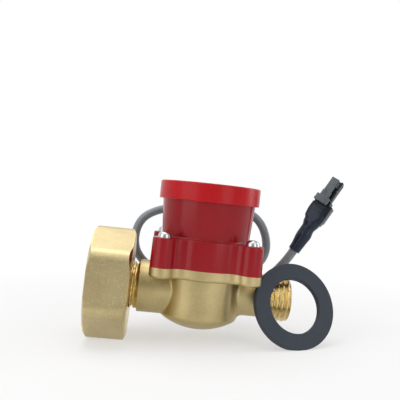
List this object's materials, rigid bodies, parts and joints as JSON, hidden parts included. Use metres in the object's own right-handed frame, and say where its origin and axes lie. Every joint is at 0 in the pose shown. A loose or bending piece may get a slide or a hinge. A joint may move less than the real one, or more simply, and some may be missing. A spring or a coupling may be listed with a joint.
{
  "type": "water flow switch",
  "caption": "Water flow switch: brass body with swivel nut and threaded outlet, red screwed cup with lid, paddle inside, loose rubber washer and a short lead with a latching plug.",
  "frame": {"origin": "where the pipe axis crosses the axis of the chamber and cup", "axes": "+X along the pipe axis towards the threaded outlet, +Z along the chamber axis towards the lid, +Y to the side where the lead leaves"},
  "size_m": [0.1193, 0.0799, 0.0849],
  "materials": {
    "body_brass": "fine cast satin",
    "nut_brass": "turned satin",
    "spring_steel": "plain steel",
    "washer_rubber": "matt moulded rubber",
    "seal_rubber": "matt moulded rubber",
    "cup_red": "glossy moulded, dark red",
    "lid_red": "glossy moulded, red",
    "screw_chrome": "bright plated",
    "bracket_plastic": "natural moulded plastic",
    "paddle_plastic": "natural moulded plastic",
    "magnet_metal": "dull coating",
    "board_green": "lacquered board",
    "reed_glass": "clear glass",
    "triac_black": "moulded body with a metal tab",
    "capacitor_yellow": "moulded film case",
    "resistor_glaze": "lacquered body",
    "wire_insulation": "plain insulation",
    "cord_grey": "soft grey jacket",
    "sleeve_black": "shrunk film",
    "plug_black": "moulded black",
    "latch_grey": "moulded, shows grey in the light",
    "contact_tin": "tin plated"
  },
  "bodies": {
    "body": {"valve_body": "body_brass", "nut_retaining_ring": "spring_steel", "chamber_seal": "seal_rubber", "switch_housing": "cup_red", "top_cap": "lid_red", "cover_screws": "screw_chrome", "paddle_bracket": "bracket_plastic", "paddle_pin": "spring_steel", "circuit_board": "board_green", "board_screws": "spring_steel", "reed_switch": "reed_glass", "triac": "triac_black", "capacitor": "capacitor_yellow", "resistors": "resistor_glaze", "inner_wires": "wire_insulation", "cable_grommet": "seal_rubber", "cord": "cord_grey", "cord_sleeve": "sleeve_black", "connector_housing": "plug_black", "connector_contacts": "contact_tin"},
    "nut": {"union_nut": "nut_brass"},
    "paddle": {"flow_paddle": "paddle_plastic", "paddle_magnet": "magnet_metal"},
    "latch": {"connector_latch": "latch_grey"},
    "washer": {"sealing_washer": "washer_rubber"}
  },
  "joints": [
    {"name": "nut_turn", "type": "hinge", "parent": "body", "child": "nut", "pos_m": [-0.0409, 0, 0], "axis": [1, 0, 0], "continuous": true},
    {"name": "paddle_swing", "type": "hinge", "parent": "body", "child": "paddle", "pos_m": [0, 0, 0.003], "axis": [0, -1, 0], "range_deg": [0, 38]},
    {"name": "latch_press", "type": "hinge", "parent": "body", "child": "latch", "pos_m": [0.06184, 0.01307, 0.05579], "axis": [0.7538, -0.5, -0.4265], "range_deg": [0, 7], "stiffness_Nm_per_rad": 0.13},
    {"name": "washer_lift", "type": "slide", "parent": "body", "child": "washer", "axis": [0.2322, -0.8914, 0.3891], "range_m": [0, 0.06]}
  ]
}
